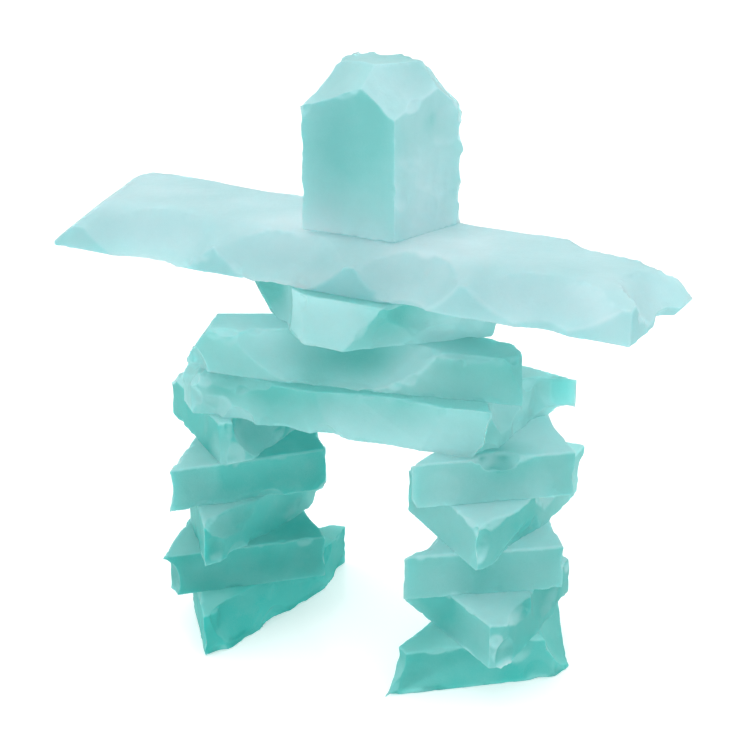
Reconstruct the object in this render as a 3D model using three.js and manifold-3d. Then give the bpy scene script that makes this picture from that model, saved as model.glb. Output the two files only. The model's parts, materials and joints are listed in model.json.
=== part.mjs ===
// A stone figure with outstretched arms, stacked from rough-broken plates of frosted sea-green glass.
// Two legs of five stones carry a hip stone, a chest stone, a neck stone, the long arm stone and a head.
// Millimetres, +Z up. The front of the figure is -Y and its arms run along X.

import * as THREE from 'three';
import { ConvexGeometry } from 'three/addons/geometries/ConvexGeometry.js';
import { mergeVertices } from 'three/addons/utils/BufferGeometryUtils.js';
import Module from 'manifold-3d';

const wasm = await Module();
wasm.setup();

// Driving dimensions. Every stone but the head is one plate thick, and the bond is the film between two.
const PLATE = 19;
const BOND = 0.3;
const HEAD_HEIGHT = 67;
const ARM_LENGTH = 267;
const ARM_MIDDLE = -28.5;

// The back edge of the arm stone is shorter than the front one by this much
const ARM_BACK_LOSS = 50;

// Flakes struck from the long front edge of the arm stone, with a narrow bevel between their tops.
// Their places are shares of the arm length from its middle.
const ARM_FLAKE_PLACES = [-0.307, -0.062, 0.156, 0.369];
const ARM_FLAKE_RADIUS = 40;
const ARM_FLAKE_STRETCHES = [1.18, 1.12, 0.87, 1.24];
const ARM_FLAKE_RISE = 38;
const ARM_FLAKE_REACH = 15;
const ARM_BEVEL_REACH = 15;
const ARM_BEVEL_RISE = 67;
const ARM_NOTCH_RADII = [11, 9, 15, 20];
const ARM_NOTCH_DEPTHS = [3.5, 2.5, 7, 8.5];

// Knapped scallops up the back corner of the head, and over its crown at these places across the head
const SCALLOP_RADIUS = 9;
const SCALLOP_DEPTH = 2.4;
const SCALLOP_PITCH = 14;
const SCALLOP_START = 8.5;
const SCALLOP_COUNT = 4;
const CROWN_SCALLOPS = [[-31, 1.01], [-15, 0.995], [-4, 0.91]];

// The facets of a flake scar are about this long, and the wedges that slice a corner are this large
const FACET_LENGTH = 5;
const LEAST_FACETS = 3;
const WEDGE = 400;

const radians = THREE.MathUtils.degToRad;

// The direction that leaves the figure at a plan heading and rises from level, both in degrees
function aim(heading, rise) {
  const flat = Math.cos(radians(rise));
  return new THREE.Vector3(
    flat * Math.cos(radians(heading)),
    flat * Math.sin(radians(heading)),
    Math.sin(radians(rise)),
  );
}

function solidOf(geometry) {
  geometry.deleteAttribute('normal');
  geometry.deleteAttribute('uv');
  const merged = mergeVertices(geometry, 1e-4);
  return new wasm.Manifold(new wasm.Mesh({
    numProp: 3,
    vertProperties: new Float32Array(merged.attributes.position.array),
    triVerts: new Uint32Array(merged.index.array),
  }));
}

function geometryOf(solid) {
  const mesh = solid.getMesh();
  const geometry = new THREE.BufferGeometry();
  geometry.setAttribute('position', new THREE.BufferAttribute(mesh.vertProperties, mesh.numProp));
  geometry.setIndex(new THREE.BufferAttribute(mesh.triVerts, 1));
  geometry.computeVertexNormals();
  return geometry;
}

// A plan outline walked from one corner. Each side is a heading in degrees and a length in millimetres,
// and the last side closes on the first corner.
function walk(corner, sides) {
  const outline = new THREE.Shape();
  let [x, y] = corner;
  outline.moveTo(x, y);
  for (const [heading, length] of sides) {
    x += length * Math.cos(radians(heading));
    y += length * Math.sin(radians(heading));
    outline.lineTo(x, y);
  }
  return outline;
}

function block(corner, sides, height) {
  return solidOf(new THREE.ExtrudeGeometry(walk(corner, sides), { depth: height, bevelEnabled: false }));
}

// A frame whose Z axis leaves the stone along the given direction, with its X axis level
function facing(direction, place) {
  const level = new THREE.Vector3(-direction.y, direction.x, 0).normalize();
  const across = new THREE.Vector3().crossVectors(direction, level);
  return new THREE.Matrix4().makeBasis(level, across, direction).setPosition(place);
}

// The hollow of one struck flake: a ball that dips by its depth below a point of the stone's surface,
// stretched sideways. The point's height is a share of the stone's own height.
function flake(x, y, share, heading, rise, radius, depth, stretch = 1) {
  return (height) => {
    const outward = aim(heading, rise);
    const centre = new THREE.Vector3(x, y, share * height).addScaledVector(outward, radius - depth);
    const facets = Math.max(LEAST_FACETS, Math.round(radius / FACET_LENGTH));
    const ball = new THREE.IcosahedronGeometry(1, facets);
    ball.scale(radius * stretch, radius, radius);
    ball.applyMatrix4(facing(outward, centre));
    return solidOf(ball);
  };
}

// A flat break through a point of the stone, facing outward along a heading and a rise
function slice(x, y, share, heading, rise) {
  return (height) => {
    const outward = aim(heading, rise);
    const wedge = new THREE.BoxGeometry(WEDGE, WEDGE, WEDGE);
    wedge.translate(0, 0, WEDGE / 2);
    wedge.applyMatrix4(facing(outward, new THREE.Vector3(x, y, share * height)));
    return solidOf(wedge);
  };
}

function carve(stone, height, breaks) {
  return breaks.reduce((rest, cut) => rest.subtract(cut(height)), stone);
}

// Frosted glass of one tone. The stones pale from the feet up to the arms.
function glass(name, colour) {
  return new THREE.MeshStandardMaterial({ name, color: colour, roughness: 0.55, metalness: 0 });
}

const TONES = {
  foot: '#3fb0a9',
  leg: '#5ebab4',
  body: '#7fc5c0',
  head: '#8cccc8',
  arm: '#b4dfe0',
};

const figure = new THREE.Group();

// Lays a stone in its course. The courses are counted from the floor, and each is a plate and a bond high.
function lay(name, course, tone, solid) {
  const mesh = new THREE.Mesh(geometryOf(solid), glass(tone, TONES[tone]));
  mesh.name = name;
  mesh.position.z = course * (PLATE + BOND);
  figure.add(mesh);
}

// Leg stones from the floor up. The first, third and fifth right-hand stones show a broad face to the
// front, and the ones between show a sharp upright corner. On the left it is the other way round.
const RIGHT_LEG = [
  {
    name: 'right_leg_stone_5_foot',
    tone: 'foot',
    corner: [21, -28],
    sides: [[43.5, 72], [83, 12], [128, 48], [226, 30]],
    breaks: [
      flake(24.6, -20.9, 0.94, 243, 0, 24, 1),
      flake(73, 30, 1, 35, 24, 34, 9.5),
      flake(67, 13, 0, -40, -30, 10, 2),
    ],
  },
  {
    name: 'right_leg_stone_4',
    tone: 'leg',
    corner: [61.5, -15.5],
    sides: [[40, 7.5], [93, 64], [155, 8], [219, 66.6]],
    breaks: [
      flake(66.5, 3, 1, 5, 40, 14, 3, 1.5),
      flake(65, 28, 0.7, 3, 12, 36, 3),
      flake(66.5, -9, 0.36, -20, -12, 9, 2),
      flake(63, 46, 0, 10, -35, 14, 3),
    ],
  },
  {
    name: 'right_leg_stone_3',
    tone: 'leg',
    corner: [22.5, -16],
    sides: [[40.5, 66.5], [130, 54], [231, 20]],
    breaks: [
      flake(73.5, 30, 0.62, 5, 5, 12, 2),
      flake(72, 32, 0, 20, -35, 12, 2.6),
      flake(23, 0, 1, 178, 45, 16, 2.6),
      flake(46, -2, 0.3, -50, -4, 80, 1.2),
    ],
  },
  {
    name: 'right_leg_stone_2',
    tone: 'leg',
    corner: [54, -12.8],
    sides: [[76, 25], [94, 56.5], [97, 17], [171, 10], [237, 77.5]],
    breaks: [
      slice(54, 85.5, 1, 98, -27),
      flake(56, 82, 0.4, 40, 0, 12, 3),
      flake(59.5, 14, 0, 2, -26, 60, 4.6),
      flake(57, -5, 1, -10, 34, 22, 2.2, 1.2),
      flake(55.5, -9, 0.6, -25, 0, 8, 2),
      flake(57, 44, 0.8, 2, 20, 26, 2.6),
    ],
  },
  {
    name: 'right_leg_stone_1',
    tone: 'leg',
    corner: [23.5, -13],
    sides: [[43.5, 68], [131, 54.5], [229, 18]],
    breaks: [
      flake(52, 12, 1, -46, 28, 26, 3, 1.5),
      flake(23.2, -11, 0, 215, -20, 16, 2),
      flake(71.5, 42, 0, 20, -35, 12, 2.4),
    ],
  },
];

const LEFT_LEG = [
  {
    name: 'left_leg_stone_5_foot',
    tone: 'foot',
    corner: [-58.8, -41],
    sides: [[57, 10], [86, 68], [103, 29], [197, 8], [243, 72]],
    breaks: [
      flake(-51, -13, 1, -8, 33, 24, 5.6, 1.2),
      flake(-49.5, 26, 0.9, -3, 20, 44, 3.6),
      flake(-55, -34, 0, -35, -20, 9, 1.6),
      flake(-78, -22, 1, 225, 24, 60, 2),
      flake(-52, 56, 0, 5, -30, 14, 3),
    ],
  },
  {
    name: 'left_leg_stone_4',
    tone: 'foot',
    corner: [-82.7, -37],
    sides: [[48, 71.5], [139, 49], [242, 55]],
    breaks: [
      flake(-82.7, -37, 0.33, 214, 0, 13, 7),
      flake(-70, 46, 1, 120, 40, 20, 4),
    ],
  },
  {
    name: 'left_leg_stone_3',
    tone: 'leg',
    corner: [-61.2, -35.2],
    sides: [[61, 6.5], [88, 63.5], [107, 30], [181, 5.5], [250, 70.5]],
    breaks: [
      flake(-58.2, -17, 0.95, -8, 22, 40, 3.4),
      flake(-58.5, -30, 0.15, -30, 8, 18, 1.4),
      flake(-55, 18, 0.5, 2, 5, 34, 3),
      flake(-60, 50, 0, 15, -30, 15, 3),
    ],
  },
  {
    name: 'left_leg_stone_2',
    tone: 'leg',
    corner: [-80.5, -33],
    sides: [[52, 69.5], [134, 50], [247, 58]],
    breaks: [
      flake(-82, -31, 0.6, 225, 0, 15, 1.4),
      flake(-89, -16, 1, 204, 40, 16, 2),
      flake(-57, -4, 0, -36, -28, 26, 2.2, 1.3),
      flake(-38, 23, 0, -10, -35, 12, 2.6),
    ],
  },
  {
    name: 'left_leg_stone_1',
    tone: 'leg',
    corner: [-66, -17],
    sides: [[23, 5], [63, 11.5], [96, 35], [84, 34], [129, 10.5], [217, 61], [249, 19.5]],
    breaks: [
      flake(-59, 7, 0.65, 0, 30, 24, 8, 1.1),
      flake(-90, -1, 0.7, 237, 4, 70, 1.4),
      flake(-118, 18, 1, 232, 38, 8, 1.8),
    ],
  },
];

for (const leg of [RIGHT_LEG, LEFT_LEG]) {
  leg.forEach((stone, course) => {
    const solid = carve(block(stone.corner, stone.sides, PLATE), PLATE, stone.breaks);
    lay(stone.name, course, stone.tone, solid);
  });
}

const HIP_COURSE = RIGHT_LEG.length;

// The hip stone spans both legs
const hips = block(
  [-93, -6],
  [[322, 16.5], [8, 60.5], [11, 68.5], [94, 48.5], [24, 17.5], [171, 26.5], [189, 119.5]],
  PLATE,
);
lay('hip_stone', HIP_COURSE, 'body', carve(hips, PLATE, [
  flake(-88, -12, 1, 225, 40, 22, 6.5),
  flake(-62, -15, 1, -80, 38, 55, 4),
  flake(-74, -16, 0.2, -75, -24, 12, 2.2),
  flake(-58, -13, 0.1, -85, -28, 10, 2),
  flake(-38, -10, 0.2, -80, -10, 30, 1.8),
  flake(-21, -8, 0, -60, -35, 8, 2.8),
  flake(8, -2.5, 0.6, -79, 12, 70, 4.2, 1.1),
  flake(38, 3.5, 0.6, -74, 8, 50, 3),
  flake(49, 30, 0.75, -2, 30, 24, 8.5),
  flake(47, 12, 0, -25, -32, 14, 5),
  flake(53, 60, 0, 300, -35, 16, 4.6),
  flake(58, 67, 0, 50, -40, 12, 4),
]));

// The chest stone lies turned on the hips
const chest = block(
  [-87, -10],
  [[328, 9.5], [11, 48], [17, 91], [121, 12], [137, 9.5], [176, 14], [159, 38.5], [212, 64], [212, 23.5]],
  PLATE,
);
lay('chest_stone', HIP_COURSE + 1, 'body', carve(chest, PLATE, [
  slice(-76, -8, 1, 203, 35),
  flake(-60, -11.5, 1, -80, 36, 70, 2.2),
  flake(-24, 7.8, 0.43, -73, 37, 32, 0, 1.65),
  flake(34, 13, 1, -73, 50, 44, 2.4, 1.2),
  flake(55, 26, 0.85, -25, 14, 30, 3),
  flake(-82, -13, 0, -120, -40, 12, 2),
]));

// The neck stone leans out from its foot to its top, so it is the hull of two outlines
const NECK_FOOT = [[-64, 18], [-28.5, -9.7], [-9.6, -9], [32, 39], [20, 50], [-52, 46]];
const NECK_TOP = [[-82, 23], [-31.6, -5], [6, -3.5], [39, 34], [28, 51], [-62, 46]];

const neckCorners = [
  ...NECK_FOOT.map(([x, y]) => new THREE.Vector3(x, y, 0)),
  ...NECK_TOP.map(([x, y]) => new THREE.Vector3(x, y, PLATE)),
];
lay('neck_stone', HIP_COURSE + 2, 'body', carve(solidOf(new ConvexGeometry(neckCorners)), PLATE, [
  flake(18, 12, 0.5, -42, 0, 40, 5.4),
  flake(-49, 6.5, 0.5, 232, 5, 30, 3.2),
]));

// The arm stone is one long slab, flaked along its front edge and broken down at both ends
const handX = ARM_MIDDLE + ARM_LENGTH / 2;
const farHandX = ARM_MIDDLE - ARM_LENGTH / 2;

const arms = block(
  [farHandX, -5],
  [
    [2, ARM_LENGTH], [94, 30], [54, 11.5], [94, 11.6],
    [193, 18.5], [172, 28.5], [140, 13], [179, ARM_LENGTH - ARM_BACK_LOSS],
  ],
  PLATE,
);
const armFlakes = ARM_FLAKE_PLACES.flatMap((place, index) => {
  const x = ARM_MIDDLE + place * ARM_LENGTH;
  return [
    flake(x, ARM_FLAKE_REACH - 5, 0.44, -90, ARM_FLAKE_RISE, ARM_FLAKE_RADIUS, 0, ARM_FLAKE_STRETCHES[index]),
    flake(x, -3, 0, -90, 20, ARM_NOTCH_RADII[index], ARM_NOTCH_DEPTHS[index]),
  ];
});
lay('arm_stone', HIP_COURSE + 3, 'arm', carve(arms, PLATE, [
  slice(ARM_MIDDLE, ARM_BEVEL_REACH, 1, -90, ARM_BEVEL_RISE),
  ...armFlakes,
  slice(farHandX + 1, -5, 0.17, 202, 51),
  slice(handX - 17, 50, 1, 20, 70),
  slice(handX + 4.5, 43, 0.3, 4, 38),
  slice(handX + 4.5, 43, 0.3, 4, -42),
  flake(handX - 8.6, 27, 0.54, 8, 38, 40, 0, 0.8),
  flake(handX - 2, 38, 0, 0, -30, 9, 4),
]));

// The head stone, with its crown broken to a peak behind the front face
const head = block([-45.5, 15.5], [[3, 43.5], [79.5, 43], [180, 48]], HEAD_HEIGHT);
const cornerScallops = [];
for (let step = 0; step < SCALLOP_COUNT; step += 1) {
  const share = (SCALLOP_START + step * SCALLOP_PITCH) / HEAD_HEIGHT;
  cornerScallops.push(flake(6, 60.5, share, 40, 0, SCALLOP_RADIUS, SCALLOP_DEPTH));
}
const crownScallops = CROWN_SCALLOPS.map(([x, share]) => (
  flake(x, 60, share, 60, 60, SCALLOP_RADIUS, SCALLOP_DEPTH)
));
lay('head_stone', HIP_COURSE + 4, 'head', carve(head, HEAD_HEIGHT, [
  slice(-16.7, 17.3, 0.9, 244, 54),
  slice(-2, 18, 0.73, -33, 47),
  slice(3, 53.5, 0.828, 22, 42),
  slice(-46, 29, 0.945, 219, 78),
  ...cornerScallops,
  ...crownScallops,
]));

// The origin is the middle of the footprint's box, on the floor
const box = new THREE.Box3().setFromObject(figure);
const middle = box.getCenter(new THREE.Vector3());
figure.position.set(-middle.x, -middle.y, 0);
figure.updateMatrixWorld(true);

export default figure;
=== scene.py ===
# %% [markdown]
# # A stacked-stone figure in frosted glass
# The real object is a table sculpture: fifteen rough-broken plates of sea-green glass, bonded one on
# another into a figure with outstretched arms. The imported model already has every stone at its true
# size and place. This lesson dresses each one: crisp breaks, small nicks and scars along the edges,
# and a frosted glass that the light goes into.

# %% Load the imported model and its record
import json
import math

import bmesh
import bpy
import numpy as np
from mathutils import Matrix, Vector
from mathutils.bvhtree import BVHTree


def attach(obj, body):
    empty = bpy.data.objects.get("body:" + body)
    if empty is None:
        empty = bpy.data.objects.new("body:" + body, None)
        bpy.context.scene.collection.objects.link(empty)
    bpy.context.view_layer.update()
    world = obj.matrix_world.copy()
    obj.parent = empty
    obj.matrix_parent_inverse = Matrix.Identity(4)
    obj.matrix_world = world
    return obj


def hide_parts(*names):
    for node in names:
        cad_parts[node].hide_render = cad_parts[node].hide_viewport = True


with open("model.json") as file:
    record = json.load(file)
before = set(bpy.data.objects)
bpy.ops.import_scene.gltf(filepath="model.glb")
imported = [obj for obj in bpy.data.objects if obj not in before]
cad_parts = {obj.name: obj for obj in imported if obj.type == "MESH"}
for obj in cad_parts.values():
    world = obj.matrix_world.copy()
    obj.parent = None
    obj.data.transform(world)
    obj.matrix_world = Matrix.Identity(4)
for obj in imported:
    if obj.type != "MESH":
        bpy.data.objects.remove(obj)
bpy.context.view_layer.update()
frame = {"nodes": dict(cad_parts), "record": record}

# %% [markdown]
# ## The camera
# The photograph looks at the figure from its right and a little above. A camera could be placed by its
# own coordinates, but the point it looks at, two angles and a distance are easier to read and to mend.

# %% Camera
LOOK_AT = Vector((0.0276, -0.0221, 0.125))
AZIMUTH = math.radians(32)
ELEVATION = math.radians(20.6)
DISTANCE = 0.63
LENS = 76.9

camera = bpy.data.objects.new("camera", bpy.data.cameras.new("camera"))
bpy.context.collection.objects.link(camera)
back = Vector((
    math.sin(AZIMUTH) * math.cos(ELEVATION),
    -math.cos(AZIMUTH) * math.cos(ELEVATION),
    math.sin(ELEVATION),
))
camera.location = LOOK_AT + back * DISTANCE
camera.rotation_mode = "QUATERNION"
camera.rotation_quaternion = (-back).to_track_quat("-Z", "Y")
camera.data.lens = LENS
camera.data.clip_end = 20
bpy.context.scene.camera = camera
print("camera at", tuple(round(v, 3) for v in camera.location))

# %% [markdown]
# ## Node trees without the clutter
# Both the glass and the nicks are made by node trees. Each node takes a few lines to add, set and wire, so
# one method does all three: its settings come first, then the number or the wire of each input.


# %% A node tree that is easy to add to
class Nodes:
    def __init__(self, tree):
        self.tree = tree

    def fill(self, node, values):
        """Gives a node's inputs their numbers, or wires them to other nodes' outputs."""
        for key, value in values.items():
            if isinstance(value, Value):
                value = value.socket
            if isinstance(value, bpy.types.NodeSocket):
                self.tree.links.new(value, node.inputs[key])
            else:
                node.inputs[key].default_value = value

    def add(self, kind, values=None, **settings):
        made = self.tree.nodes.new(kind)
        for name, setting in settings.items():
            setattr(made, name, setting)
        self.fill(made, values or {})
        return made


print("made the helper", Nodes.__name__)

# %% [markdown]
# A material's node tree is arithmetic on values that change over the surface. Wrapping a socket in a small
# class lets the tree be written as a formula, and each operator adds one Math node.


# %% A socket that can be added, multiplied and mixed
class Value:
    def __init__(self, nodes, socket):
        self.nodes = nodes
        self.socket = socket

    def _math(self, operation, *others):
        made = self.nodes.add("ShaderNodeMath", dict(enumerate(others)), operation=operation)
        return Value(self.nodes, made.outputs[0])

    def __add__(self, other): return self._math("ADD", self, other)
    def __radd__(self, other): return self._math("ADD", other, self)
    def __sub__(self, other): return self._math("SUBTRACT", self, other)
    def __rsub__(self, other): return self._math("SUBTRACT", other, self)
    def __mul__(self, other): return self._math("MULTIPLY", self, other)
    def __rmul__(self, other): return self._math("MULTIPLY", other, self)

    def clamp(self):
        return Value(self.nodes, self.nodes.add("ShaderNodeClamp", {0: self}).outputs[0])

    def mix(self, first, second):
        """The colour between two others, by this value as the share of the second."""
        colours = {0: self, 6: (*first, 1), 7: (*second, 1)}
        return Value(self.nodes, self.nodes.add("ShaderNodeMix", colours, data_type="RGBA").outputs[2])


print("made the helper", Value.__name__, "with + - and *")

# %% [markdown]
# ## The glass
# The real glass is sea-green and frosted all over. Light goes in through the matt skin, wanders and comes
# out elsewhere, so even the joints between stones glow green instead of turning black. Clear refraction
# would show that too, but slowly and with much noise. Subsurface scattering with rough transmission gives
# it at once, and a faint painted glow of the glass's own colour stands for the light that has wandered in
# from far away. How pale the glass looks at a spot depends on how much light gathers behind it, and that
# painted light and shade is drawn later, stone by stone, as the attribute "pale".


# %% Frosted glass
def linear(hex_colour):
    """A colour as a painter reads it off a chart, turned to the renderer's linear light."""
    shares = (int(hex_colour[i:i + 2], 16) / 255 for i in (1, 3, 5))
    return tuple(s / 12.92 if s <= 0.04045 else ((s + 0.055) / 1.055) ** 2.4 for s in shares)


def frosted_glass(name, deep, pale):
    material = bpy.data.materials.new(name)
    material.use_nodes = True
    nodes = Nodes(material.node_tree)
    place = nodes.add("ShaderNodeTexCoord").outputs["Object"]

    def clouds(scale, detail, rough=0.5):
        values = {"Vector": place, "Scale": scale, "Detail": detail, "Roughness": rough}
        return Value(nodes, nodes.add("ShaderNodeTexNoise", values).outputs[0])

    def drawn(attribute):
        made = nodes.add("ShaderNodeAttribute", attribute_name=attribute)
        return Value(nodes, made.outputs["Fac"])

    milk = 0.5 * (clouds(45, 4, 0.55) - 0.5)  # milky clouds, about 2 cm wide
    frost = 0.14 * (clouds(1900, 2) - 0.5)  # the grain of the matt skin
    bruise_and_edge_light = 0.12 * drawn("bruise_and_edge_light")  # nicks are crushed, so they are paler and rougher; crisp edges are rougher too, and their paleness is a painted edge highlight
    # the attribute "pale" brings the painted light and shade of each stone; milk and frost are the glass's
    # own clouds and grain
    colour = (drawn("pale") + milk + bruise_and_edge_light + frost).clamp().mix(linear(deep), linear(pale))
    grain = {"Strength": 0.4, "Distance": 0.0002, "Height": clouds(1100, 3, 0.6) + 2.0 * clouds(170, 3)}
    nodes.fill(material.node_tree.nodes["Principled BSDF"], {
        "Base Color": colour,
        # painted glow: the glass gives off its own colour, standing for light that has wandered in from
        # afar
        "Emission Color": colour,
        "Emission Strength": 0.15,
        "Roughness": 0.56 + 0.12 * clouds(60, 2) + bruise_and_edge_light,
        "Normal": nodes.add("ShaderNodeBump", grain).outputs[0],
        "IOR": 1.45,
        "Subsurface Weight": 1.0,
        "Subsurface Radius": (0.3, 1.0, 0.95),
        "Subsurface Scale": 0.012,
        "Transmission Weight": 0.6,
    })
    return material


print("half grey in linear light:", round(linear("#808080")[0], 3))

# %% One glass for each kind of stone
GLASS = {
    "foot": frosted_glass("deep sea-green glass", "#26a7a0", "#98d1d0"),
    "leg": frosted_glass("sea-green glass", "#46b1ab", "#c0e3e5"),
    "body": frosted_glass("mid sea-green glass", "#58b7b1", "#b9e1e3"),
    "arm": frosted_glass("pale sea-green glass", "#8cc3c5", "#d8e6ea"),
    "head": frosted_glass("soft sea-green glass", "#70bab8", "#c6dee3"),
}
print("glasses mixed:", len(GLASS))

# %% [markdown]
# ## Small nicks along the broken edges
# Where two breaks meet, the glass edge is nibbled by tiny flat nicks. They repeat along every sharp edge,
# so Geometry Nodes make them: find the sharp edges, strew flat-sided pebbles just outside them at random,
# and cut the pebbles out of the stone. Painting them as bump would leave the outline of a stone smooth.

# %% A node tree that nibbles the edges of a stone
SHARP_EDGE = 0.5  # radians between two faces
NICK_SET_OUT = 0.62  # how far a pebble's heart lies outside the edge, as a share of its radius


def nibbling_tree():
    tree = bpy.data.node_groups.new("nibbled edges", "GeometryNodeTree")
    nodes = Nodes(tree)
    keys = {}
    for name, kind in (
        ("Stone", "Geometry"), ("Spacing", "Float"), ("Share", "Float"), ("Least", "Float"),
        ("Most", "Float"), ("Seed", "Int"), ("Glass", "Material"),
    ):
        face = tree.interface.new_socket(name, in_out="INPUT", socket_type="NodeSocket" + kind)
        keys[name] = face.identifier
    tree.interface.new_socket("Stone", in_out="OUTPUT", socket_type="NodeSocketGeometry")
    given = nodes.add("NodeGroupInput").outputs

    def dice(data_type, shift, values):
        """A Random Value node whose seed is the stone's own seed, shifted."""
        seed = nodes.add("FunctionNodeIntegerMath", {0: given["Seed"], 1: shift}, operation="ADD")
        values = {**values, "Seed": seed.outputs[0]}
        return nodes.add("FunctionNodeRandomValue", values, data_type=data_type).outputs

    outward = nodes.add("GeometryNodeInputNormal").outputs[0]
    keep = nodes.add(
        "GeometryNodeStoreNamedAttribute",
        {"Geometry": given["Stone"], "Name": "outward", "Value": outward},
        data_type="FLOAT_VECTOR", domain="POINT",
    )
    kept = nodes.add("GeometryNodeInputNamedAttribute", {"Name": "outward"}, data_type="FLOAT_VECTOR")
    angle = nodes.add("GeometryNodeInputMeshEdgeAngle").outputs["Unsigned Angle"]
    sharp = nodes.add(
        "FunctionNodeCompare", {0: angle, 1: SHARP_EDGE}, data_type="FLOAT", operation="GREATER_THAN",
    )
    curves = nodes.add("GeometryNodeMeshToCurve", {"Mesh": keep.outputs[0], "Selection": sharp.outputs[0]})
    spots = nodes.add(
        "GeometryNodeCurveToPoints",
        {"Curve": curves.outputs[0], "Length": given["Spacing"]},
        mode="LENGTH",
    )

    size = dice("FLOAT", 300, {2: given["Least"], 3: given["Most"]})[1]
    chosen = dice("BOOLEAN", 100, {"Probability": given["Share"]})[3]
    turn = dice("FLOAT_VECTOR", 200, {0: (0, 0, 0), 1: (math.tau,) * 3})[0]
    reach = nodes.add("ShaderNodeMath", {0: size, 1: NICK_SET_OUT}, operation="MULTIPLY").outputs[0]
    push = nodes.add("ShaderNodeVectorMath", {0: kept.outputs[0], "Scale": reach}, operation="SCALE")
    moved = nodes.add(
        "GeometryNodeSetPosition", {"Geometry": spots.outputs["Points"], "Offset": push.outputs[0]},
    )
    pebble = nodes.add("GeometryNodeMeshIcoSphere", {"Radius": 1, "Subdivisions": 1}).outputs["Mesh"]
    strewn = nodes.add("GeometryNodeInstanceOnPoints", {
        "Points": moved.outputs[0], "Selection": chosen, "Instance": pebble,
        "Rotation": turn, "Scale": size,
    })
    cut = nodes.add(
        "GeometryNodeMeshBoolean", {"Mesh 1": given["Stone"], "Mesh 2": strewn.outputs[0]},
        operation="DIFFERENCE", solver="MANIFOLD",
    )
    real = nodes.add("GeometryNodeRealizeInstances", {0: cut.outputs["Mesh"]})
    glazed = nodes.add(
        "GeometryNodeSetMaterial", {"Geometry": real.outputs[0], "Material": given["Glass"]},
    )
    nodes.add("NodeGroupOutput", {0: glazed.outputs[0]})
    return tree, keys


NIBBLING, NIBBLING_KEYS = nibbling_tree()
print("nibbling tree has", len(NIBBLING.nodes), "nodes")

# %% [markdown]
# ## Working a mesh like clay
# After an even remesh each stone has points close enough together to be worked by hand. Sculpt brushes
# are awkward to guide from a script and hard to repeat exactly, so numpy reads all points at once, moves
# them and puts them back.


# %% Helpers on a mesh's points
def read(rows, name):
    flat = np.empty(len(rows) * 3, np.float32)
    rows.foreach_get(name, flat)
    return flat.reshape(-1, 3).astype(np.float64)


def points_of(mesh):
    return read(mesh.vertices, "co")


def normals_of(mesh):
    return read(mesh.vertex_normals, "vector")


def put_points(mesh, points):
    mesh.vertices.foreach_set("co", points.astype(np.float32).ravel())
    mesh.update()


def neighbour_mean(mesh):
    """A function that gives, for any values on the points, the mean over each point's neighbours."""
    count = len(mesh.vertices)
    pairs = np.empty(len(mesh.edges) * 2, np.int32)
    mesh.edges.foreach_get("vertices", pairs)
    one, other = pairs.reshape(-1, 2).T
    shares = 1 / np.maximum(np.bincount(one, minlength=count) + np.bincount(other, minlength=count), 1)

    def mean(values):
        columns = values.reshape(count, -1)
        summed = [
            np.bincount(one, column[other], count) + np.bincount(other, column[one], count)
            for column in columns.T
        ]
        return (np.stack(summed, 1) * shares[:, None]).reshape(values.shape)

    return mean


def soft_step(values, low, high):
    """0 below low, 1 above high, and a soft step between them."""
    share = np.clip((values - low) / (high - low), 0, 1)
    return share * share * (3 - 2 * share)


sample = [round(float(soft_step(value, 0, 1)), 2) for value in (0.25, 0.5, 0.75)]
print("a soft step from 0 to 1 goes through", sample)

# %% [markdown]
# ## Random numbers that belong to a place
# No two breaks of the real glass are alike, yet the same stone has to come out the same in each run. A
# random number is therefore mixed from the cell of space that a point lies in, and a seed. Smooth lumps
# and bowls follow from the numbers of the cells around the point. Each use has a seed of its own, so that
# no two patterns fall together.

# %% Lumps and bowls
MIXERS = (73856093, 19349663, 83492791, 2654435761)  # large odd numbers that scatter neighbouring cells
STIR = 1274126177
BOWL_MARGIN = 0.15  # how far a bowl's heart stays from the walls of its cell


def dice_at(cells, seed):
    """A number from 0 to 1 for each whole-numbered cell, always the same for the same cell and seed."""
    x, y, z = cells.T
    mixed = (x * MIXERS[0]) ^ (y * MIXERS[1]) ^ (z * MIXERS[2]) ^ (seed * MIXERS[3])
    mixed = ((mixed ^ (mixed >> 13)) * STIR) & 0xFFFFFFFF
    return ((mixed ^ (mixed >> 16)) & 0xFFFF) / 0xFFFF


def rumple(points, size, seed):
    """Smooth noise from -1 to 1, with lumps about as large as the given size."""
    spot = points / size
    cell = np.floor(spot).astype(np.int64)
    share = soft_step(spot - cell, 0, 1)
    total = np.zeros(len(points))
    for corner in np.ndindex(2, 2, 2):
        weight = np.prod(np.where(corner, share, 1 - share), axis=1)
        total += weight * (2 * dice_at(cell + corner, seed) - 1)
    return total


def bowls(points, size, seed):
    """0 on the ridges between bowls and 1 at the bottom of each, for bowls of about the given size."""
    spot = points / size
    cell = np.floor(spot).astype(np.int64)
    nearest = np.ones(len(points))
    for corner in np.ndindex(3, 3, 3):
        here = cell + corner - 1
        shares = np.stack([dice_at(here, seed + k) for k in range(3)], 1)
        heart = here + BOWL_MARGIN + (1 - 2 * BOWL_MARGIN) * shares
        nearest = np.minimum(nearest, ((spot - heart) ** 2).sum(1))
    return 1 - nearest


print("lumps at three spots:", rumple(np.eye(3), 0.4, 1).round(2))

# %% [markdown]
# ## Scars
# Glass breaks in shells: a scar is a shallow round bowl. A boolean cut for each would be slow, so every
# point inside a ball is pushed out to the ball's skin instead. Two helpers then mend what too many scars
# can do: one keeps thin edges whole, the other evens out skin that was pushed over itself.

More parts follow.
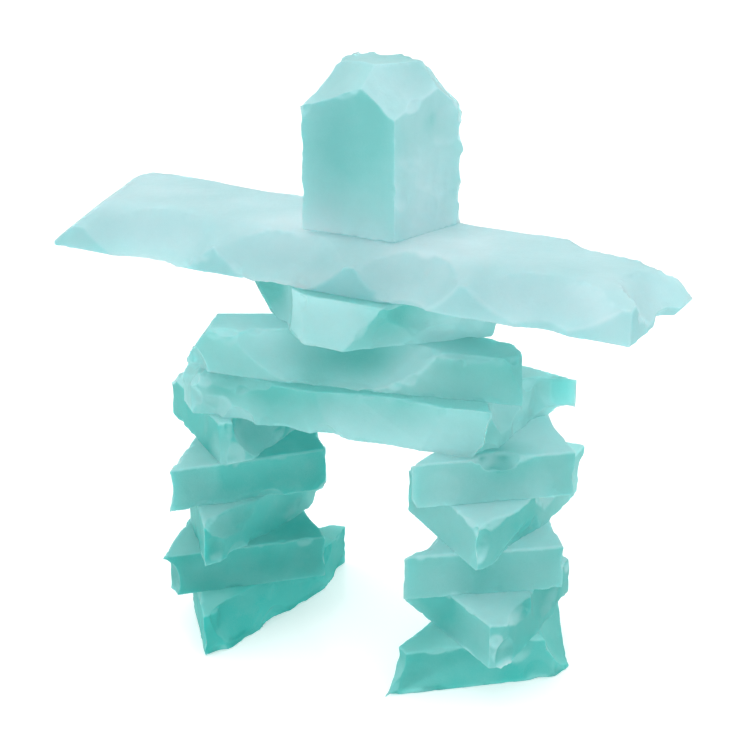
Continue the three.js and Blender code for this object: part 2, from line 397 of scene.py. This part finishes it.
# %% Cutting and mending
DENT, DENT_SIZE = 0.5, 0.35  # the dents in a scar's ball, as shares of its depth and its radius
GLASS_SPENT = 0.35  # the most that scars may take of the glass behind a point
UNDER_SKIN = 0.0005  # where a ray through the glass starts, in metres below the skin
FOLDED = (0.45, 0.7)  # how much a point's normal differs from its neighbours' mean where the skin folds
MENDS, MEND_STEP = 6, 0.7


def unit(facing):
    return np.array(facing) / np.linalg.norm(facing)


def bite(points, place, facing, radius, depth, seed):
    """Pushes the points that lie inside a dented ball out to its skin, and tells which ones moved."""
    facing = unit(facing)
    centre = np.array(place) + facing * (radius - depth)
    away = points - centre
    far = np.linalg.norm(away, axis=1)
    reach = radius + DENT * depth * rumple(points, DENT_SIZE * radius, seed)
    inside = far < reach
    points[inside] = centre + away[inside] * (reach[inside] / np.maximum(far[inside], 1e-9))[:, None]
    return inside


def held_back(start, points, plain):
    """Shortens each move to a share of the glass behind its point, so that thin edges stay whole."""
    push = points - start
    depth = np.maximum(np.linalg.norm(push, axis=1), 1e-9)
    way = push / depth[:, None]
    casts = (
        plain.ray_cast(Vector(place), Vector(line))[3]
        for place, line in zip(start + UNDER_SKIN * way, way)
    )
    behind = np.array([far or 0 for far in casts])
    return start + way * np.minimum(depth, GLASS_SPENT * behind)[:, None]


def unfolded(mesh, points, mean):
    """Evens out the few places where a scar has pushed the skin over itself."""
    for _ in range(MENDS):
        put_points(mesh, points)
        normals = normals_of(mesh)
        folded = soft_step(np.linalg.norm(normals - mean(normals), axis=1), *FOLDED)
        share = np.minimum(folded + 2 * mean(folded), 1)[:, None]
        points = points + share * MEND_STEP * (mean(points) - points)
    return points


print("scars take at most", GLASS_SPENT, "of the glass behind them")

# %% [markdown]
# ## Painted light and shade on each stone
# In frosted glass a face is pale where light gathers behind it and deep where the glass is thick or
# covered. Faces that look up are palest. A renderer could find the rest by following light through all
# fifteen stones, far too slowly, so that light and shade are painted instead, as washes: each with a
# place in millimetres, the way the washed face looks, how far the wash reaches, and how much paler
# (painted light) or deeper (painted shade) it makes it.

# %% Washes of painted light and shade
FRONT = (0.1, -1, 0)
RIGHT = (1, -0.2, 0)
BACK = (0, 1, 0)
UP = (0, 0, 1)
SCOOP = (0.1, -0.7, 0.7)
LIGHT_AND_SHADE_WASHES = {
    "head_stone": [
        ((8, -5, 218), FRONT, 16, -0.3), ((6, -5, 199), FRONT, 16, -0.22),
        ((-16, -6, 170), FRONT, 16, 0.6), ((6, -5, 168), FRONT, 13, 0.45),
        ((22, -4, 168), FRONT, 13, 0.42), ((-19, -6, 195), FRONT, 7, 0.12),
        ((28, 12, 200), RIGHT, 45, 0.5), ((25, -2, 212), RIGHT, 10, -0.22),
        ((30, 15, 170), RIGHT, 16, 0.4), ((30, 17, 218), RIGHT, 4, -0.3),
        ((-7, 8, 232), (-0.3, -0.5, 0.8), 20, -0.06), ((15, 4, 228), (0.6, -0.4, 0.7), 20, 0.28),
        ((4, 34, 240), UP, 20, -0.3), ((32, 32, 220), (0.8, 0.2, 0.5), 14, -0.1),
    ],
    "arm_stone": [
        ((-29, 2, 173), UP, 18, 0.5), ((44, 0, 173), UP, 22, 0.6),
        ((13, -22, 158), FRONT, 13, -0.5), ((-122, -26, 164), (0, -0.5, 0.85), 12, -0.3),
        ((128, -18, 165), FRONT, 22, 0.3), ((62, -20, 161), FRONT, 34, 0.14),
        ((8, -18, 160), (0, -0.8, 0.6), 25, -0.15), ((-42, -18, 168), (0, -0.4, 0.9), 40, -0.18),
        ((68, -15, 168), (0, -0.4, 0.9), 40, -0.18),
    ],
    "neck_stone": [
        ((-34, -8, 147), (-0.5, -0.85, 0.1), 12, -0.8),
        ((-12, -22, 143), (-0.7, -0.7, 0), 10, -0.1), ((10, -28, 146), (0, -0.93, 0.36), 40, 0.5),
        ((35, -16, 150), (0.9, -0.4, -0.1), 16, -0.5), ((57, 13, 138), (0.7, -0.6, -0.4), 16, 0.33),
        ((42, -4, 142), (0.7, -0.7, -0.2), 18, 0.33), ((0, -12, 154), UP, 40, -0.4),
        ((28, -26, 153), (0, -0.97, 0.25), 10, -0.3), ((-4, -27, 152), (-0.5, -0.87, 0.1), 7, 0.25),
    ],
    "chest_stone": [
        ((-35, -34, 123), (0.3, -0.95, 0), 26, 0.04), ((-34, -22, 137), UP, 22, 0.35),
        ((-24, -23, 133), (0.5, -0.75, 0.35), 9, 0.3), ((1, -15, 127), SCOOP, 13, -0.45),
        ((18, -10, 128), SCOOP, 12, -0.6), ((10, -21, 117), SCOOP, 8, 0.3),
        ((24, -18, 118), SCOOP, 8, 0.4), ((35, -15, 123), SCOOP, 8, 0.45),
        ((42, -11, 129), SCOOP, 8, 0.42), ((49, -10, 134), SCOOP, 7, 0.4),
        ((62, -9, 126), (0.3, -0.95, 0), 20, -0.2), ((60, -9, 117), (0.3, -0.95, 0), 14, 0.15),
        ((64, 5, 135), UP, 26, -0.35), ((80, 2, 126), (0.85, -0.35, 0.4), 14, -0.3),
    ],
    "hip_stone": [
        ((-17, -33, 115), FRONT, 15, -0.4), ((6, -28, 115), FRONT, 9, -0.4),
        ((38, -20, 115), FRONT, 12, -0.35), ((-36, -36, 112), FRONT, 12, -0.2),
        ((18, -25, 102), (0.3, -0.95, 0), 20, 0.28), ((53, -19, 104), (0.4, -0.9, 0.1), 22, 0.32),
        ((-30, -36, 102), FRONT, 12, 0.4), ((-38, -37, 114), (0.2, -0.8, 0.6), 12, -0.3),
        ((8, -28, 117), UP, 34, -0.5), ((20, -23, 116), (0.3, -0.93, 0.1), 9, -0.35),
        ((-48, -37, 107), FRONT, 9, 0.25), ((80, 36, 98), (0.4, -0.8, -0.3), 10, 0.3),
        ((58, 0, 116), UP, 40, -0.25), ((73, 10, 105), (1, 0, 0), 20, 0.05),
    ],
    "left_leg_stone_1": [
        ((-37, -16, 84), (0.8, 0, 0.6), 22, -0.75), ((-32, -33, 80), (0.9, -0.45, 0), 8, 0.35),
        ((-66, -22, 86), (-0.4, -0.9, 0), 36, -0.62), ((-42, -37, 82), (-0.4, -0.9, 0), 9, 0.25),
        ((-36, -30, 84), (0.85, -0.4, 0.3), 9, -0.25),
    ],
    "left_leg_stone_2": [
        ((-60, -42, 77), UP, 16, 0.1), ((-17, 2, 77), UP, 45, -1.2),
        ((-17, -10, 67), (0.8, -0.6, 0), 32, -0.5), ((-32, -28, 75), (0.8, -0.6, 0), 16, -0.28),
    ],
    "left_leg_stone_3": [
        ((-27, -20, 48), (1, 0, 0), 34, -0.5), ((-17, -5, 58), UP, 34, -0.95),
        ((-52, -40, 46), (-0.7, -0.7, 0), 20, -0.5), ((-28, -34, 50), (0.87, -0.3, 0.4), 26, -0.45),
        ((-35, -48, 56), (0.5, -0.7, 0.5), 7, 0.3),
    ],
    "left_leg_stone_4": [
        ((-62, -46, 38), UP, 14, 0.15), ((-17, -2, 38), UP, 36, -0.7),
        ((-30, -30, 26), (0.75, -0.65, 0), 45, -0.1),
    ],
    "left_leg_stone_5_foot": [
        ((-24, -25, 9), (1, 0, 0), 60, -0.5), ((-25, -24, 17), (0.8, -0.4, 0.5), 5, -0.4),
        ((-26, -31, 14.5), (0.8, -0.2, 0.5), 4, -0.4), ((-17, -15, 19), UP, 40, -1.2),
        ((-33, -48, 19), UP, 9, 0.1), ((-38, -44, 9), (-0.6, -0.8, 0), 20, -0.4),
        ((-2, 10, 10), (1, 0.2, 0), 30, -0.6), ((-24, -25, 14), (0.9, -0.2, 0.4), 40, -0.3),
    ],
    "right_leg_stone_1": [
        ((64, -24, 87), (0.7, -0.7, 0), 40, 0.24), ((77, -10, 91), (0.7, -0.7, 0), 11, -0.3),
        ((90, 22, 96), UP, 22, 0.28), ((72, -6, 96), UP, 12, -0.6),
    ],
    "right_leg_stone_2": [
        ((55, -18, 67), (-0.5, -0.85, 0), 30, 0.14), ((79, -24, 77), UP, 20, 0.55),
        ((88, -6, 68), RIGHT, 30, -0.37),
    ],
    "right_leg_stone_3": [
        ((90, 6, 58), UP, 30, -0.02), ((60, -25, 48), (0.65, -0.75, 0), 12, 0.1),
        ((75, -18, 47), (0.65, -0.75, 0), 12, -0.2),
    ],
    "right_leg_stone_4": [
        ((52, -17, 32), (-0.5, -0.87, 0), 22, -0.4), ((93, -8, 30), RIGHT, 28, -0.5),
        ((91, 5, 29), (0.93, 0.1, 0.3), 16, -0.4), ((93, -10, 36), (0.64, -0.25, 0.73), 8, -0.4),
        ((92, -36, 26), (0.6, -0.8, 0), 9, 0.25),
    ],
    "right_leg_stone_5_foot": [
        ((60, -30, 19), UP, 26, -0.3), ((93, -8, 9), (0.7, -0.7, 0), 16, 0.05),
        ((73, -25, 8), (0.7, -0.7, 0), 36, -0.2), ((96, 10, 8), (0.7, 0.3, 0.6), 26, -0.6),
        ((90, -11, 2), (0.7, -0.7, 0), 9, -0.3),
    ],
}
print("washes:", sum(len(washes) for washes in LIGHT_AND_SHADE_WASHES.values()))

# %% [markdown]
# ## The breaks that catch the eye
# Most scars may fall at random, but these give the figure its outline, so they are listed one by one. Each
# has its place and radius in millimetres, the way it faces, its depth and how much paler (painted light)
# or deeper (painted shade) its floor is. The rough patches after them are where the break shattered: a
# place, the way it faces, its reach, and how much stronger the ripple is there.

# %% Listed scars
SCARS = {
    "head_stone": [
        ((-17, 0, 230), (-0.6, -0.2, 0.8), 8, 1, 0), ((-14, 15, 238), (-0.4, 0.2, 0.9), 6, 1, 0),
        ((-12, 28, 240.5), (-0.4, 0.4, 0.8), 7, 1.9, 0),
        ((-10, 34, 240.5), (-0.2, 0.5, 0.8), 30, 1, 0),
        ((-2, 31, 240.5), (0, 0.6, 0.8), 7, 1.4, 0.03), ((9, 33, 240.5), (0.1, 0.5, 0.8), 7, 1, 0),
        ((15, 30.5, 240.5), (0.2, 0.4, 0.9), 8, 2.1, 0.03),
        ((21, 31, 239.5), (0.4, 0.4, 0.8), 40, 1.6, 0),
        ((22, 31.5, 238), (0.5, 0.3, 0.8), 6, 2.2, 0.02),
        ((26, 33, 233), (0.69, 0.28, 0.67), 60, 2, 0),
        ((25.5, 32.5, 234), (0.69, 0.28, 0.67), 6, 2.8, 0),
        ((29, 36, 229), (0.69, 0.28, 0.67), 7, 2.8, 0.02),
        ((32, 36, 225), (0.85, 0.3, 0.4), 30, 2, 0), ((33, 36, 219), (0.9, 0.3, 0.2), 7, 1.6, 0.02),
        ((33, 36, 212), (0.9, 0.4, 0), 8, 1.4, 0), ((33, 36, 199), (0.9, 0.4, 0), 9, 1, 0.02),
        ((33, 36, 187), (0.9, 0.4, 0), 9, 1.5, 0), ((33, 36, 176), (0.9, 0.4, 0), 8, 1.2, 0.02),
        ((28, 11, 212), RIGHT, 75, 0.9, 0.02), ((30, 22, 197), RIGHT, 60, 1.2, 0.06),
        ((29, 14, 185), RIGHT, 40, 1, -0.02), ((31, 27, 215), RIGHT, 40, 1.1, 0.05),
        ((31, 28, 182), RIGHT, 34, 0.9, 0), ((28, 7, 226), (0.9, -0.3, 0.4), 12, 1, 0.05),
        ((30, 19, 219), RIGHT, 8, 0.6, -0.15), ((26, 2, 190), (0.9, -0.4, 0), 9, 0.7, 0.1),
        ((-19, -7, 208), (-1, -0.5, 0), 10, 0.9, 0.04),
        ((-19, -7, 190), (-1, -0.5, 0), 12, 1, 0.04), ((-8, 38, 198), BACK, 80, 1.2, 0.04),
        ((14, 38, 223), (0.1, 0.9, 0.3), 60, 1.4, 0.05),
        ((-18, 22, 205), (-1, 0.1, 0), 70, 1.2, 0.04),
        ((-18, 10, 222), (-0.9, 0, 0.3), 40, 1.2, 0.05), ((-18, 25, 182), (-1, 0.2, 0), 50, 1.1, 0),
    ],
    "arm_stone": [
        ((-70, 43, 172), (0, 0.8, 0.6), 60, 1.6, 0.06),
        ((-18, 43, 155), (0, 0.9, -0.4), 70, 1.8, -0.06),
        ((40, 41, 173), (0, 0.8, 0.6), 55, 1.5, 0.06),
        ((86, 36, 156), (0.1, 0.9, -0.4), 60, 1.8, -0.05),
    ],
    "neck_stone": [
        ((32, -16, 141), (0.7, -0.6, -0.4), 26, 1.2, 0.1),
        ((44, -3, 140), (0.7, -0.6, -0.4), 20, 1.1, 0.05),
        ((54, 8, 142), (0.7, -0.6, -0.2), 14, 1.1, 0.1),
    ],
    "chest_stone": [
        ((-49, -34, 118), (-0.6, -0.8, 0), 14, 1, 0.08),
        ((-35, -32, 135), (0, -0.6, 0.8), 20, 0.7, 0.1),
        ((-4, -27, 117), (0.3, -0.9, -0.3), 12, 0.9, 0.1),
        ((-16, 8, 118), (-0.5, 0.8, -0.2), 64, 1.6, 0.06),
        ((30, 25, 133), (0.3, 0.9, 0.3), 58, 1.5, 0.06),
    ],
    "hip_stone": [
        ((21, -26, 102), (0.3, -0.93, 0.2), 90, 1, 0.14),
        ((59, -18, 98), (0.38, -0.92, 0.05), 230, 1, 0.14),
        ((-54, -37, 114), (-0.4, -0.8, 0.5), 10, 1.3, 0.25),
        ((-45, -37, 112), (0, -1, 0.3), 11, 0.8, 0.3),
        ((-50, -37, 103), (-0.2, -1, 0), 14, 1, 0.15),
        ((-39, -37, 104), (0.1, -1, -0.3), 13, 1, 0.2),
        ((-31, -36, 99), (0.1, -0.8, -0.6), 11, 1.1, 0.15),
        ((-11, -32, 96.5), (0.1, -0.7, -0.7), 13, 1.1, 0.1),
        ((12, -30, 96.5), (0.2, -0.7, -0.7), 10, 1, 0.1),
        ((32, -26, 96.5), (0.3, -0.7, -0.6), 12, 1, 0.05),
        ((73, 15, 101), (1, 0.1, 0), 22, 1, 0.12), ((73, 24, 107), (1, 0, 0.2), 16, 0.9, 0.05),
        ((74, -3, 104), (0.9, -0.4, 0), 16, 1, -0.08),
        ((-17, 30, 99), (-0.2, 1, -0.2), 75, 1.8, 0.06),
        ((21, 37, 115), (-0.2, 0.9, 0.4), 66, 1.6, 0.06),
        ((58, 42, 98), (0, 1, -0.3), 58, 1.5, -0.05),
    ],
    "left_leg_stone_1": [
        ((-33, -33, 79), (0.8, -0.6, 0.1), 16, 0.8, 0.12),
        ((-59, 32, 80), (-0.6, 0.8, -0.2), 56, 1.5, 0.06),
    ],
    "left_leg_stone_2": [
        ((-44, -42, 58.5), (0.6, -0.6, -0.5), 12, 1, 0.08),
        ((-27, -22, 58.5), (0.7, -0.5, -0.5), 13, 1, 0.08),
        ((-27, 17, 62), (0.7, 0.7, -0.2), 56, 1.4, 0.06),
    ],
    "left_leg_stone_3": [
        ((-29, -34, 40), (0.8, -0.4, -0.4), 13, 1, 0.08),
        ((-28, -22, 40), (0.8, -0.3, -0.4), 13, 1, 0.05),
    ],
    "left_leg_stone_4": [
        ((-25, 10, 36), (0.7, 0.8, 0.2), 56, 1.4, 0.06),
    ],
    "left_leg_stone_5_foot": [
        ((-22, -33, 14), (0.8, -0.5, 0.3), 34, 0.9, -0.1),
        ((-14, -18, 4), (0.8, -0.4, -0.4), 16, 0.9, 0.05),
    ],
    "right_leg_stone_1": [
        ((74, -6, 95.5), (0.6, -0.6, 0.6), 11, 1.7, -0.25),
        ((60, -27, 84), (0.7, -0.7, 0), 60, 0.8, 0.05),
        ((90, -1, 84), (0.7, -0.7, 0), 34, 0.7, 0.04),
        ((82, 32, 92), (0.8, 0.7, 0.2), 58, 1.5, 0.06),
    ],
    "right_leg_stone_2": [
        ((82, -32, 66), (0.9, -0.3, 0), 8, 0.6, 0.3),
        ((48, 27, 75), (-0.8, 0.5, 0.2), 56, 1.5, 0.06),
    ],
    "right_leg_stone_3": [
        ((70, -25, 46), (0.6, -0.8, 0), 50, 0.7, 0.04),
        ((77, 32, 42), (0.8, 0.6, -0.2), 58, 1.5, 0.06),
    ],
    "right_leg_stone_4": [
        ((91, -35.5, 31), (0.7, -0.7, 0), 7, 0.6, 0.4),
        ((91.7, -35.5, 25), (0.7, -0.7, 0), 6, 0.5, 0.35),
        ((58, 13, 22), (-0.6, 0.8, -0.2), 56, 1.5, 0.06),
    ],
    "right_leg_stone_5_foot": [
        ((95, -6, 6), (0.7, -0.7, -0.1), 14, 1, -0.1),
        ((89, -12, 13), (0.7, -0.7, 0.2), 18, 0.8, 0.08),
        ((64, -38, 6), (0.6, -0.8, 0), 40, 0.7, 0), ((61, 38, 17), (-0.7, 0.7, 0.2), 56, 1.4, 0.06),
    ],
}
ROUGH = {
    "head_stone": [
        ((30, 17, 205), RIGHT, 40, 1.6), ((6, 30, 238), (0.2, 0.3, 0.9), 16, 1.5),
    ],
    "neck_stone": [
        ((48, 0, 144), (0.7, -0.6, -0.3), 24, 1),
    ],
    "hip_stone": [
        ((-46, -37, 106), FRONT, 14, 2), ((73, 15, 103), (1, 0, 0), 18, 1.5),
    ],
    "right_leg_stone_5_foot": [
        ((96, -4, 8), (0.7, -0.7, 0), 16, 1.5),
    ],
}
print("scars set by hand:", sum(len(scars) for scars in SCARS.values()))

# %% [markdown]
# ## What sets the stones apart
# The arms were broken cleanly and are palest, the middle of the body is the most knocked about, and the
# feet are deepest. Four numbers for each kind of stone say so.

# %% How worn, how keen-edged and how pale each kind of stone is, with the painted light on its tops
WEAR = {"head": 0.8, "arm": 0.35, "body": 1.0, "leg": 0.8, "foot": 0.8}
KEEN = {"head": 0.09, "arm": 0.1, "body": 0.1, "leg": 0.09, "foot": 0.09}  # the least turn of an edge
SIDE_TONE = {"head": 0.28, "arm": 0.14, "body": 0.43, "leg": 0.34, "foot": 0.29}
PAINTED_TOP_LIGHT_TONE = {"head": 0.66, "arm": 0.62, "body": 0.66, "leg": 0.9, "foot": 0.8}
PAINTED_OVERHANG_SHADE = 0.16  # painted shade: a stone's side is this much deeper at its top, under the stone above, than at its foot
CLOUD, CLOUD_SIZE = 0.06, 0.016
BACK_DEEPER = 0.14  # the backs get no washes, so they are deeper and cloudier all over
BACK_CLOUD, BACK_CLOUD_SIZE = 0.2, 0.03
LEANS_UP = (0.03, 0.4)  # how far a face leans up before it counts as a top and gets the painted top light
LOOKS_BACK = (0.1, 0.6)  # how far it looks back before it counts as a back
LOOKS_THAT_WAY = (0.6, 0.82)  # the cosine between the way a face looks and the way a wash does


def spread(points, normals, place, facing, reach):
    """1 at a place and fading to 0 around it, on faces that look the given way only."""
    near = np.exp(-((points - np.array(place) / 1000) ** 2).sum(1) / (reach / 1000) ** 2)
    return near * soft_step(normals @ unit(facing), *LOOKS_THAT_WAY)


def painted_light_and_tone(node, slot, index, points, normals):
    # painted top light: faces that look up are paler
    top = soft_step(normals[:, 2], *LEANS_UP)
    tone = SIDE_TONE[slot] + (PAINTED_TOP_LIGHT_TONE[slot] - SIDE_TONE[slot]) * top
    height = (points[:, 2] - points[:, 2].min()) / np.ptp(points[:, 2])
    # painted shade: sides are deeper at their top, under the stone above; the clouds are the glass's own
    tone += PAINTED_OVERHANG_SHADE * (0.5 - height) * (1 - top) + CLOUD * rumple(points, CLOUD_SIZE, 7 * index)
    behind = soft_step(normals[:, 1], *LOOKS_BACK) * (1 - top)
    tone += behind * (BACK_CLOUD * rumple(points, BACK_CLOUD_SIZE, 5 * index) - BACK_DEEPER)
    # washes of painted light and shade
    for *where, shift in LIGHT_AND_SHADE_WASHES[node]:
        tone += shift * spread(points, normals, *where)
    return np.clip(tone, 0, 1)


print("kinds of stone:", ", ".join(WEAR))

# %% [markdown]
# ## An even grain
# A packed stone has few, long triangles, which can't be worked like clay. Subdividing them would keep
# their uneven sizes, so the nibbled stone gets a voxel remesh: a skin of even squares. Large stones get
# larger squares, to stay below a sensible number of triangles.

# %% Nibble and remesh
LARGEST = 125_000  # about the most triangles that a stone gets
FINEST = 0.00067  # the smallest square, in metres
COARSER = 1
NICKS = {"Spacing": 0.0035, "Least": 0.0007, "Most": 0.0024}
NICK_SHARE = 0.3


def nibbled(node, slot, index, form):
    rough_mesh = bpy.data.meshes.new(node + "_rough")
    form.to_mesh(rough_mesh)
    rough = bpy.data.objects.new(node + "_rough", rough_mesh)
    bpy.context.collection.objects.link(rough)
    nibble = rough.modifiers.new("nibble", "NODES")
    nibble.node_group = NIBBLING
    inputs = {**NICKS, "Share": NICK_SHARE * WEAR[slot], "Seed": index, "Glass": GLASS[slot]}
    for name, value in inputs.items():
        nibble[NIBBLING_KEYS[name]] = value
    area = sum(face.calc_area() for face in form.faces)
    remesh = rough.modifiers.new("even grain", "REMESH")
    remesh.mode = "VOXEL"
    remesh.voxel_size = max(FINEST, math.sqrt(2 * area / LARGEST)) * COARSER
    reading = bpy.context.evaluated_depsgraph_get()
    mesh = bpy.data.meshes.new_from_object(rough.evaluated_get(reading))
    bpy.data.objects.remove(rough)
    return mesh


print("finest square:", FINEST * 1000, "mm")

# %% [markdown]
# ## Crisp edges, soft hollows
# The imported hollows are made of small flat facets, and real ones are smooth. Smoothing everything would
# blunt the edges as well. So the points where two breaks meet are found first, by how much the nearest
# facets turn from point to point, and only the others are melted together.

# %% Melting
NICKED = (0.00025, 0.0005)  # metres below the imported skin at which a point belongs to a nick
SOFT_TOP = (0.42, 0.55)  # the long hollows of the arms run out softly where they lean up this much
MELTS = 40
ARM_MELTS = 3 * MELTS
MELT_STEP = 0.5


def crispness(slot, points, plain, mean):
    """How much each point belongs to an edge between two breaks or to a nick, and to a nick alone."""
    nearest = [plain.find_nearest(point) for point in points]
    facets = np.array([hit[1] for hit in nearest])
    nicks = soft_step(np.array([hit[3] for hit in nearest]), *NICKED)
    meeting = np.linalg.norm(facets - mean(facets), axis=1)
    edges = soft_step(meeting, 0.8 * KEEN[slot], 1.3 * KEEN[slot])
    crisp = np.clip(2 * mean(edges) + mean(nicks), 0, 1)
    if slot == "arm":
        crisp *= 1 - soft_step(mean(facets)[:, 2], *SOFT_TOP)
    return crisp, nicks


def melted(slot, points, crisp, mean):
    for _ in range(ARM_MELTS if slot == "arm" else MELTS):
        points = points + (1 - crisp)[:, None] * MELT_STEP * (mean(points) - points)
    return points


print("rounds of melting:", MELTS, "and", ARM_MELTS, "for the arms")

# %% [markdown]
# ## Scars and ripple on one stone
# The random scars keep to the outer edges, where knocks land. Then come the listed scars, put down on
# the stone's own skin. A broken face also has a fine ripple: two sizes of shallow bowls that meet in thin
# ridges, on the sides only, because the tops are the smooth skin of the plate.

# %% Scarring and rippling
SCAR_SPACING = 0.012  # metres of sharp edge for each random scar, on a stone with a wear of 1
SCAR_RADII = (0.004, 0.014)
SCAR_DEPTHS = (0.0003, 0.0012)
BROAD_BOWLS, BROAD_DEPTH = 0.012, 0.0004
FINE_BOWLS, FINE_DEPTH = 0.0055, 0.00018
SWELL_SIZE, SWELL_DEPTH = 0.02, 0.00025
PLATE_SKIN = (0.85, 0.98)  # how straight up or down a face looks if it is the plate's own skin


def edge_scars(form, spacing, seed):
    """Shallow scars beside the sharp outer edges: place, facing, radius and depth of each."""
    rng = np.random.default_rng(seed)
    scars = []
    for edge in form.edges:
        if len(edge.link_faces) < 2 or not edge.is_convex or edge.calc_face_angle() < SHARP_EDGE:
            continue
        one, other = (np.array(face.normal) for face in edge.link_faces)
        start, end = (np.array(vert.co) for vert in edge.verts)
        for _ in range(rng.poisson(edge.calc_length() / spacing)):
            lean = rng.random()
            facing = lean * one + (1 - lean) * other
            place = start + (end - start) * rng.random()
            scars.append((place, facing, rng.uniform(*SCAR_RADII), rng.uniform(*SCAR_DEPTHS)))
    return scars


def scar(node, slot, index, form, plain, points):
    """Cuts both kinds of scars into the points, and tells the painted light and shade of each point's scar
    floor.
    """
    for count, found in enumerate(edge_scars(form, SCAR_SPACING / WEAR[slot], index)):
        bite(points, *found, count)
    scar_light_and_shade = np.zeros(len(points))
    for count, (place, facing, radius, depth, shift) in enumerate(SCARS.get(node, ())):
        skin = plain.find_nearest(Vector(place) / 1000)[0]
        scar_light_and_shade[bite(points, skin, facing, radius / 1000, depth / 1000, count)] += shift
    return scar_light_and_shade


def rippled(node, slot, index, points, normals):
    side = 1 - soft_step(np.abs(normals[:, 2]), *PLATE_SKIN)
    rough = 1 + sum(much * spread(points, normals, *where) for *where, much in ROUGH.get(node, ()))
    broad = BROAD_DEPTH * bowls(points, BROAD_BOWLS, 9 * index)
    fine = FINE_DEPTH * rough * bowls(points, FINE_BOWLS, 9 * index + 4)
    swell = SWELL_DEPTH * (rumple(points, SWELL_SIZE, index) - 1)
    return points + normals * (side * (swell - WEAR[slot] * (broad + fine)))[:, None]


print("ripple in millimetres:", 1000 * BROAD_DEPTH, "and", 1000 * FINE_DEPTH)

# %% [markdown]
# ## Dressing every stone
# Each stone goes through the same hands: its solid is copied, nibbled, remeshed, melted, scarred and
# rippled. Its tone, which holds painted light and shade, and its bruises, which hold a painted edge
# highlight, are written as attributes, which the glass reads, and the dressed stone takes the imported
# one's place.


# %% One stone
slots = {part["node"]: part["material_slot"] for part in frame["record"]["subparts"]}
TOUCH_UPS, TOUCH_STEP = 2, 0.4  # light rounds of melting after the scars
EDGE_LIGHT_AND_BRUISE = 0.25  # how much bruise and painted edge highlight a crisp edge gets, beside a nick, which is 1


def shaped(node, slot, index, form):
    """The stone's finished mesh, with the tone (painted light and shade among it) and the bruises (with a
    painted edge highlight) of each point.
    """
    mesh = nibbled(node, slot, index, form)
    mean = neighbour_mean(mesh)
    plain = BVHTree.FromBMesh(form)
    points = points_of(mesh)
    crisp, nicks = crispness(slot, points, plain, mean)
    start = melted(slot, points, crisp, mean)
    points = start.copy()
    scar_light_and_shade = scar(node, slot, index, form, plain, points)
    put_points(mesh, points)
    points = held_back(start, rippled(node, slot, index, points, normals_of(mesh)), plain)
    for _ in range(TOUCH_UPS):
        points += TOUCH_STEP * (mean(points) - points)
    points = unfolded(mesh, points, mean)
    put_points(mesh, points)
    # painted light and shade from the washes, the tops and the scar floors, with the glass's own clouds,
    # as each point's tone
    tone = np.clip(painted_light_and_tone(node, slot, index, points, normals_of(mesh)) + scar_light_and_shade, 0, 1)
    # bruises on the nicks, with a painted highlight along the crisp edges
    bruise_and_edge_light = np.clip(EDGE_LIGHT_AND_BRUISE * crisp + nicks, 0, 1)
    return mesh, {"pale": mean(tone), "bruise_and_edge_light": mean(bruise_and_edge_light)}


print("stones to dress:", len(slots))

# %% Dress the stones
triangles = 0

for index, (node, slot) in enumerate(sorted(slots.items()), 1):
    form = bmesh.new()
    form.from_mesh(frame["nodes"][node].data)
    bmesh.ops.remove_doubles(form, verts=form.verts, dist=1e-6)
    form.normal_update()
    mesh, attributes = shaped(node, slot, index, form)
    form.free()
    for name, values in attributes.items():
        mesh.attributes.new(name, "FLOAT", "POINT").data.foreach_set("value", values.astype(np.float32))
    mesh.materials.clear()
    mesh.materials.append(GLASS[slot])
    mesh.shade_smooth()
    stone = bpy.data.objects.new(node + "_glass", mesh)
    bpy.context.collection.objects.link(stone)
    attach(stone, "root")
    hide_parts(node)
    faces = sum(len(polygon.vertices) - 2 for polygon in mesh.polygons)
    triangles += faces
    print(node, faces, "triangles")
print("triangles in all:", triangles)

# %% [markdown]
# ## The floor
# The photograph's ground is white and a little glossy, so the feet are faintly mirrored in it. One large
# square sheet does that, with a faint glow that keeps it white without a hard light.

# %% Floor
HALF = 3.0
floor_mesh = bpy.data.meshes.new("floor")
floor_mesh.from_pydata(
    [(-HALF, -HALF, 0), (HALF, -HALF, 0), (HALF, HALF, 0), (-HALF, HALF, 0)], [], [(0, 1, 2, 3)],
)
floor = bpy.data.objects.new("floor", floor_mesh)
bpy.context.collection.objects.link(floor)
paper = bpy.data.materials.new("white paper")
paper.use_nodes = True
Nodes(paper.node_tree).fill(paper.node_tree.nodes["Principled BSDF"], {
    "Base Color": (0.97, 0.98, 0.98, 1),
    "Roughness": 0.2,
    "Emission Color": (1, 1, 1, 1),
    "Emission Strength": 0.3,
})
floor_mesh.materials.append(paper)
print("floor", 2 * HALF, "m square")

# %% [markdown]
# ## The light
# White surroundings light the glass from all sides, as in a studio tent. That alone would flatten the
# stones, so two soft lamps are added: one above and behind, which makes frosted glass glow, and a weak one
# from the left.

# %% Lights
world = bpy.data.worlds.new("white room")
bpy.context.scene.world = world
world.use_nodes = True
Nodes(world.node_tree).fill(world.node_tree.nodes["Background"], {
    "Color": (1, 1, 1, 1),
    "Strength": 1.0,
})


def soft_box(name, place, aim, size, power):
    light = bpy.data.lights.new(name, "AREA")
    light.shape = "DISK"
    light.size = size
    light.energy = power
    lamp = bpy.data.objects.new(name, light)
    lamp.location = place
    lamp.rotation_mode = "QUATERNION"
    lamp.rotation_quaternion = (Vector(aim) - Vector(place)).to_track_quat("-Z", "Y")
    bpy.context.collection.objects.link(lamp)
    return lamp


lamps = [
    soft_box("top light", (-0.1, 0.1, 1.0), (0, 0, 0.1), 0.9, 2.0),
    soft_box("left light", (-0.8, -0.7, 0.6), (0, 0, 0.12), 0.6, 1.5),
]
bpy.context.scene.view_settings.view_transform = "Standard"
print("lit:", ", ".join(lamp.name for lamp in lamps))
